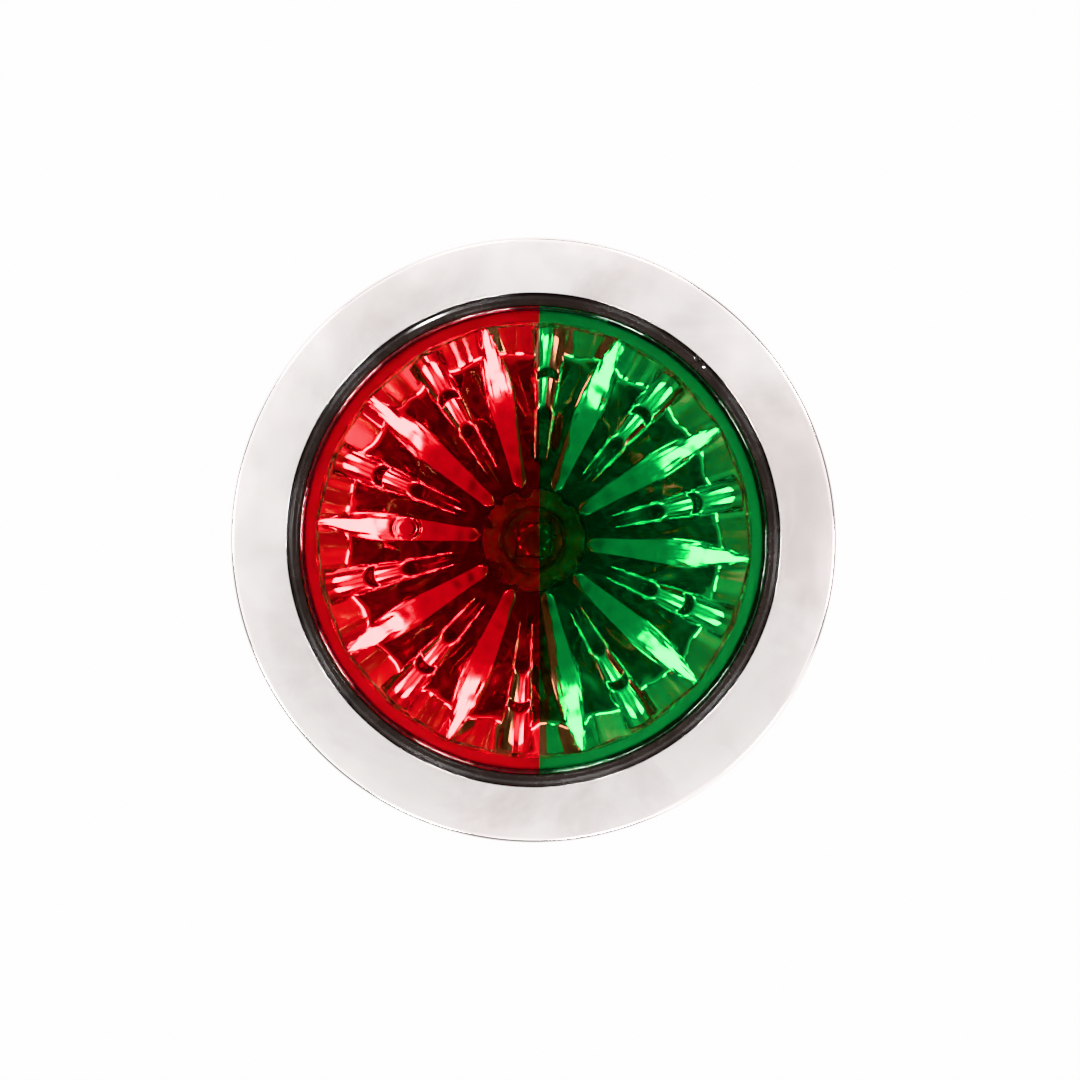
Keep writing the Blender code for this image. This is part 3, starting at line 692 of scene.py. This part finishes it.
def make_lamp():
    """The LED's clear dome, and the torn, shiny collar round it."""
    dome_radius, dome_base, flatness = 4.05, -9.5, 0.8
    dome = []
    for a in np.radians(np.arange(90, -1, -5)):
        rise = flatness * dome_radius * math.sin(a)
        dome.append((dome_radius * math.cos(a), dome_base + rise))
    dome += [(4.2, -9.52), (4.6, -9.52), (4.6, -10.0), (0, -10.0)]
    add("led_lens_cap", [solid(dome, 96)], SILICONE, "clear_silicone", "led_dome")

    inner, outer, seat, bottom = 4.45, 7.0, -9.25, -12.8
    collar = rounded(
        [
            (inner, -8.75, 0.1), (4.8, -8.5, 0.1), (5.2, -8.42, 0.0), (5.6, -8.36, 0.0),
            (6.0, -8.3, 0.0), (6.4, -8.26, 0.0), (6.7, -8.24, 0.0), (outer, -8.22, 0.1),
            (outer, bottom, 0.1), (5.0, bottom, 0.0), (5.0, seat, 0.0), (inner, seat, 0.05),
        ],
        4,
    )
    grid = turned(collar, 360)
    x, y = grid[..., 0], grid[..., 1]
    reach = np.hypot(x, y)
    swell = ripple(x * 1.6, y * 1.6, 5) * smooth(4.5, 5.2, reach)
    grid[..., 2] += 0.16 * swell * (grid[..., 2] > -9.2) * (reach < 6.9)
    # Its edge is torn back here and there, which leaves dark cracks beside the mirror.
    torn = np.maximum(ripple(x / reach * 9, y / reach * 9 + 3, 8) - 0.1, 0)
    pull = 1 - 1.5 * torn * smooth(5.6, outer, reach) / reach
    grid[..., :2] *= pull[..., None]
    add("led_collar", [(grid, True, True)], COLLAR, "black_nylon", "led_shroud")


# ---- housing, rear cover and clamp ----------------------------------------------------------

PITCH = 4.0
CREST, ROOT = 32.3, 31.4  # radii of the barrel's thread
BORE = 29.9
BACK = -29.8  # the rear cover's plain back
INLET = (19.0, 11.0)  # width and height of the shroud round the inlet's two pins


def thread_radius(height, angle, clearance=0.0):
    """The thread's profile: a flat crest and root, with sloping flanks."""
    share = np.remainder(height / PITCH - angle / (2 * math.pi), 1.0)
    rise = np.interp(share, [0, 0.3, 0.5, 0.8, 1.0], [0, 1, 1, 0, 0])
    rise = rise * rise * (3 - 2 * rise) * 0.5 + rise * 0.5
    return ROOT + (CREST - ROOT) * rise + clearance


def make_housing():
    """The threaded barrel with its flange in front and an inner ledge for the board."""
    angle = whole_turn(288)
    level = np.linspace(-1.0, -27.0, 241)[:, None] + 0 * angle
    # The CAD thread's own angle starts at +X and runs towards the top.
    turn = math.pi / 2 - angle
    run_out = smooth(-26.9, -25.6, level) * (1 - smooth(-2.2, -1.2, level))
    radius = ROOT + (thread_radius(level, turn) - ROOT) * run_out
    ledge = -15.0
    top = rounded(
        [
            (BORE, ledge, 0.0), (BORE, 3.0, 0.1), (33.8, 3.0, 0.1), (34.7, 4.1, 0.2),
            (39.9, 2.5, 0.3), (39.9, 1.2, 0.2), (CREST, 1.2, 0.1), (CREST, -0.2, 0.0),
        ]
    )[1:]
    bottom = [(ROOT, -27.1), (ROOT - 0.15, -27.4), (ROOT - 0.5, -27.5), (BORE, -27.5)]
    bottom += [(BORE, -17.2), (23.9, -17.2), (23.9, ledge), (BORE, ledge)]
    grid = np.concatenate([turned(top, 288), around(radius, level, angle), turned(bottom, 288)])
    add("barrel", [(grid, True, True)], NYLON, "black_nylon", "housing")


def make_screw(name, node, way):
    """A cross-head screw over its CAD node: a domed head with a recess, and a plain shank.

    way is 1 for a head that faces the lens and -1 for one that faces backwards.
    """
    low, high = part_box(node)
    x, y = (low.x + high.x) / 2 / MM, (low.z + high.z) / 2 / MM
    head = (high.x - low.x) / 2 / MM
    thick, shank, length = head * 0.6, head * 0.5, (high.y - low.y) / MM
    top = -high.y / MM if way < 0 else -low.y / MM
    angle = whole_turn(96)
    radii = np.concatenate([np.linspace(0, head * 0.7, 26), head * np.array([0.8, 0.9, 0.96, 1.0])])
    r = radii[:, None]
    px, py = np.abs(r * np.sin(angle)), np.abs(r * np.cos(angle))
    arm, reach = head * 0.14, head * 0.58
    cross = np.maximum(
        smooth(arm + 0.1, arm, px) * smooth(reach + 0.12, reach, py),
        smooth(arm + 0.1, arm, py) * smooth(reach + 0.12, reach, px),
    )
    depth = thick * 0.45 * (r / head) ** 2.6 + cross * thick * 0.62
    rows = [around(r, depth, angle)]
    for radius, z in ((head, thick), (shank, thick), (shank, length - 0.6), (0.0, length)):
        rows.append(around(radius, z, angle)[None])
    grid = np.concatenate(rows) + (x, y, 0)
    grid[..., 2] = top - way * grid[..., 2]
    add(name, [(grid, False, True)], SCREW_STEEL, "screw_steel", node, sharp=40)


def make_rear_cover():
    """The plug in the barrel's back, with the inlet's hollow shroud and its key."""
    _, low, high = span("rear_cover")
    plug, groove, ring_edge = 29.5, 27.9, BACK + 0.15
    disc = rounded(
        [
            (0, high, 0), (plug, high, 0.2), (plug, -25.6, 0.1), (groove, -25.6, 0.1),
            (groove, -27.2, 0.1), (plug, -27.2, 0.1), (plug, -27.8, 0.0), (31.0, -27.8, 0.25),
            (31.0, BACK, 0.5), (26.9, BACK, 0.2), (26.7, ring_edge, 0.1), (23.4, ring_edge, 0.1),
            (23.2, BACK, 0.2), (0, BACK, 0),
        ],
        4,
    )
    # (growth of the inlet's outline, corner radius, height): out over the foot, down and back in
    steps = (
        (2.4, 2.6, BACK + 0.1), (1.0, 1.9, BACK - 0.12), (0.3, 1.6, BACK - 0.45),
        (0.0, 1.5, BACK - 1.0), (0.0, 1.5, low + 0.3), (-0.2, 1.4, low + 0.08), (-0.6, 1.2, low),
        (-2.4, 1.3, low), (-2.8, 1.5, low + 0.08), (-3.0, 1.5, low + 0.35),
        (-3.0, 1.5, BACK - 0.02),
    )
    shroud = [slab_loop(INLET[0] + grow, INLET[1] + grow, r, z) for grow, r, z in steps]
    shroud.insert(0, [(0.0, 0.0, BACK + 0.1)] * len(shroud[0]))
    shroud.append([(0.0, 0.0, BACK - 0.02)] * len(shroud[0]))
    key, key_y = [], 5.75
    key_top, key_end = BACK - 0.5, low + 0.5
    for width, level in (
        (0.0, key_top), (2.2, key_top), (2.2, key_end + 0.4), (1.8, key_end), (0.0, key_end),
    ):
        loop = slab_loop(max(width, 0.9), 0.9, 0.3, level, 3)
        key.append([(x, y + key_y, z) if width else (0.0, key_y, z) for x, y, z in loop])
    grids = [solid(disc, 240), (np.array(shroud), False, True), (np.array(key), False, True)]
    add("rear_plug", grids, NYLON, "black_nylon", "rear_cover")


def make_rear_seals():
    """The O-ring in the rear cover's groove and the gasket round the inlet's shroud."""
    middle, level, thickness = 28.95, -26.4, 0.7
    section = [
        (middle + thickness * math.cos(a), level + thickness * math.sin(a)) for a in whole_turn(16)
    ]
    add("plug_seal", [ring(section)], GASKET, "seal_rubber", "rear_cover_seal", sharp=0)

    low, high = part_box("inlet_seal")
    top, foot = -low.y / MM, -high.y / MM
    loops = [
        slab_loop(11.8, 4.6, 1.2, top), slab_loop(15.2, 7.2, 1.4, top),
        slab_loop(15.4, 7.4, 1.5, top - 0.15), slab_loop(15.4, 7.4, 1.5, foot + 0.2),
        slab_loop(15.0, 7.0, 1.4, foot), slab_loop(12.2, 5.0, 1.3, foot),
        slab_loop(11.8, 4.6, 1.2, foot + 0.2),
    ]
    grid = (np.array(loops), True, True)
    add("inlet_gasket", [grid], GASKET, "inlet_silicone", "inlet_seal")


def make_pins():
    """The inlet's two pins, with tapered tips."""
    for name in ("inlet_pin_positive", "inlet_pin_negative"):
        low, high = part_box(name)
        x = (low.x + high.x) / 2 / MM
        start, end = -low.y / MM, -high.y / MM
        outline = [(0, start, 0), (1.2, start, 0.1), (1.2, end + 0.9, 0.4), (0.75, end, 0.3)]
        outline = rounded([*outline, (0, end, 0)])
        add(f"{name}_contact", [solid(outline, 48, (x, 0))], BRASS, "plated_brass", name)


def make_clamp():
    """The washer behind the panel and the ring nut with eight finger grips."""
    outer, low, high = span("clamp_washer")
    inner = CREST + 0.4
    corners = [(inner, high, 0.2), (outer, high, 0.3), (outer, low, 0.3), (inner, low, 0.2)]
    grid = ring(rounded(corners), 240)
    add("clamp_ring", [grid], WASHER_STEEL, "stainless", "clamp_washer", body="washer")

    outer, low, high = span("clamp_nut")
    angle = whole_turn(480)
    # A grip is a round scallop, centred beyond the nut's outside.
    pitch, centre, radius = math.radians(45), 41.3, 4.2
    from_grip = np.remainder(angle, pitch) - pitch / 2
    inside = np.maximum(radius**2 - (centre * np.sin(from_grip)) ** 2, 0)
    scallop = np.where(inside > 0, centre * np.cos(from_grip) - np.sqrt(inside), 99.0)
    outline = rounded(
        [
            (33.0, high, 0), (38.6, high, 0.5), (outer, high - 0.7, 0.5), (outer, low + 1.2, 0.6),
            (37.9, low, 0.5), (33.0, low, 0),
        ]
    )[1:-1]
    rows = []
    for r, z in outline:
        held = -soft_max(-(r + 0 * angle), -(scallop - (outer - r) * 0.6), 0.25)
        rows.append(around(held, z, angle))
    level = np.linspace(low, high, 86)[:, None] + 0 * angle
    plain = CREST + 0.35
    ends = smooth(low, low + 0.9, level) * (1 - smooth(high - 0.9, high, level))
    bore = plain + (thread_radius(level, math.pi / 2 - angle, 0.3) - plain) * ends
    grid = np.concatenate([np.array(rows), around(bore, level, angle)])
    add("ring_nut", [(grid, True, True)], NYLON, "black_nylon", "clamp_nut", body="nut")


make_bezel()
make_gasket()
make_seal()
make_lens()
make_mirror()
make_lamp()
make_housing()
make_rear_cover()
make_rear_seals()
make_pins()
make_clamp()
for i in range(1, 5):
    make_screw(f"plug_screw_{i}", f"cover_screw_{i}", -1)
for i in range(1, 4):
    make_screw(f"ledge_screw_{i}", f"board_screw_{i}", 1)

# The pieces inside keep their CAD shapes.
INNER = {
    "led_carrier": (COPPER, "copper"),
    "led_emitter": (PHOSPHOR, "led_phosphor"),
    "circuit_board": (BOARD, "board_lacquer"),
    "driver_chip": (CHIP, "component_black"),
    "polarity_diode": (CHIP, "component_black"),
    "inductor": (CHIP, "component_black"),
    "resistor_1": (CERAMIC, "component_ceramic"),
    "resistor_2": (CERAMIC, "component_ceramic"),
    "capacitor": (ALUMINIUM, "aluminium"),
    "thermal_pad": (PAD, "thermal_silicone"),
    "heat_spreader": (ALUMINIUM, "aluminium"),
    "wire_positive": (WIRE_RED, "red_insulation"),
    "wire_negative": (WIRE_BLACK, "black_insulation"),
}
for node, (material, slot) in INNER.items():
    NODES[node].data.materials.clear()
    NODES[node].data.materials.append(material)


# ---- stage ----------------------------------------------------------------------------------


def make_floor():
    """A large pale floor, well under the light."""
    mesh = bpy.data.meshes.new("floor")
    half, level = 1.5, -0.2  # metres
    signs = ((-1, -1), (1, -1), (1, 1), (-1, 1))
    mesh.from_pydata([(sx * half, sy * half, level) for sx, sy in signs], [], [(0, 1, 2, 3)])
    floor = bpy.data.objects.new("floor", mesh)
    bpy.context.scene.collection.objects.link(floor)
    n = Nodes("pale_floor")
    patches = n.remap(n.noise(6.0), 0.0, 1.0)
    n.set(
        Base_Color=n.blend(patches, (0.83, 0.83, 0.83), (0.80, 0.80, 0.805)),
        Roughness=n.remap(n.noise(12.0), 0.7, 0.85),
        Normal=n.bump(n.noise(300.0), 0.0001),
    )
    mesh.materials.append(n.material)
    # The tent's light reaches the light's mirror from below too.
    floor.visible_glossy = False
    floor.visible_transmission = False


# Brightness of the light tent, as (angle from the lens axis in degrees, brightness): dark behind
# the camera, a soft band, and white from the sides on.
TENT = [
    (0, 0.04), (8, 0.05), (11, 0.15), (13.5, 0.05), (17, 0.06), (19, 0.2), (21.5, 0.1), (25, 0.2),
    (28.5, 0.66), (32, 0.86), (36, 0.88), (40, 1.2), (43, 1.3), (47, 0.42), (52, 0.4), (60, 0.7),
    (65, 0.6), (70, 0.12), (80, 0.14), (88, 0.9), (110, 1.2), (180, 1.0),
]
# Ten lamps stand round the axis, one in line with each ridge, and ten dim strips between them.
LAMPS = [
    (42, 0.0), (44, 2.0), (45.8, 18.0), (47.4, 110.0), (51, 155.0), (54, 1.0), (64, 0.5), (68, 0.0),
]
STRIPS = [(38, 0.0), (41, 1.4), (45, 2.0), (48.5, 0.0)]
SPOT_TURN, SPOT_ANGLE = math.radians(180 - 25.3), math.radians(57.5)  # lights the seal's cone
BACKDROP = 7.0  # brightness of what the camera sees behind the light


def make_world():
    """A light tent round the lens axis, with lamps, a soft sky, a spot and a low side light."""
    world = bpy.data.worlds.new("light_tent")
    bpy.context.scene.world = world
    world.use_nodes = True
    tree = world.node_tree
    background = tree.nodes["Background"]
    where = tree.nodes.new("ShaderNodeTexCoord").outputs["Generated"]

    def math_node(operation, first, second=None):
        node = tree.nodes.new("ShaderNodeMath")
        node.operation = operation
        for socket, value in zip(node.inputs, (first, second)):
            if isinstance(value, bpy.types.NodeSocket):
                tree.links.new(value, socket)
            elif value is not None:
                socket.default_value = value
        return node.outputs[0]

    def toward(direction):
        """The cosine of the angle to a direction."""
        dot = tree.nodes.new("ShaderNodeVectorMath")
        dot.operation = "DOT_PRODUCT"
        tree.links.new(where, dot.inputs[0])
        dot.inputs[1].default_value = Vector(direction).normalized()
        return dot.outputs["Value"]

    def ramp(source, start, end, rise=1.0, interpolation="LINEAR"):
        """Nothing at start, the whole rise at end."""
        node = tree.nodes.new("ShaderNodeMapRange")
        node.interpolation_type = interpolation
        tree.links.new(source, node.inputs["Value"])
        node.inputs["From Min"].default_value = start
        node.inputs["From Max"].default_value = end
        node.inputs["To Max"].default_value = rise
        return node.outputs["Result"]

    def pool(direction, outer, inner, brightness):
        """A round soft-edged light, with its radii in degrees."""
        limits = math.cos(math.radians(outer)), math.cos(math.radians(inner))
        return ramp(toward(direction), *limits, brightness)

    angle = math_node("ARCCOSINE", toward((0, -1, 0)))

    def profile_of(points):
        total = points[0][1]
        for (start, low), (end, high) in zip(points, points[1:]):
            step = ramp(angle, math.radians(start), math.radians(end), high - low)
            total = math_node("ADD", step, total)
        return total

    parts = tree.nodes.new("ShaderNodeSeparateXYZ")
    tree.links.new(where, parts.inputs["Vector"])
    round_axis = math_node("ARCTAN2", parts.outputs["X"], parts.outputs["Z"])
    from_ridge = math_node("SUBTRACT", round_axis, TURN + PERIOD / 2)
    lattice = math_node("COSINE", math_node("MULTIPLY", from_ridge, float(RIDGES)))
    total = profile_of(TENT)
    for points, start, end in ((LAMPS, 0.05, 0.7), (STRIPS, -0.1, -0.7)):
        share = ramp(lattice, start, end, interpolation="SMOOTHSTEP")
        total = math_node("ADD", total, math_node("MULTIPLY", profile_of(points), share))
    sky = math_node("POWER", math_node("MAXIMUM", toward((-0.35, 0.35, 0.85)), 0.0), 4.0)
    total = math_node("ADD", total, math_node("MULTIPLY", sky, 1.6))
    aside = math.sin(SPOT_ANGLE)
    spot = (aside * math.sin(SPOT_TURN), -math.cos(SPOT_ANGLE), aside * math.cos(SPOT_TURN))
    total = math_node("ADD", total, pool(spot, 3.6, 2.6, 110.0))
    total = math_node("ADD", total, pool((0.72, -0.15, -0.68), 24, 12, 5.0))
    camera_ray = tree.nodes.new("ShaderNodeLightPath").outputs["Is Camera Ray"]
    mix = tree.nodes.new("ShaderNodeMix")
    tree.links.new(camera_ray, mix.inputs["Factor"])
    tree.links.new(total, mix.inputs["A"])
    mix.inputs["B"].default_value = BACKDROP
    tree.links.new(mix.outputs["Result"], background.inputs["Strength"])
    background.inputs["Color"].default_value = (1.0, 0.995, 0.99, 1.0)


def make_camera():
    """Straight in front of the lens; in metres: how far off, the picture's width and its middle."""
    distance, width, aside = 1.5, 0.14717, 0.00089
    data = bpy.data.cameras.new("camera")
    data.sensor_width = 36.0
    data.lens = 36.0 * distance / width
    data.clip_start, data.clip_end = 0.05, 20.0
    camera = bpy.data.objects.new("camera", data)
    camera.location = (aside, -distance, 0.0)
    camera.rotation_euler = (math.radians(90), 0.0, 0.0)
    bpy.context.scene.collection.objects.link(camera)
    bpy.context.scene.camera = camera


make_floor()
make_world()
make_camera()
try:
    bpy.context.scene.view_settings.view_transform = "Khronos PBR Neutral"
except TypeError:
    bpy.context.scene.view_settings.view_transform = "Standard"
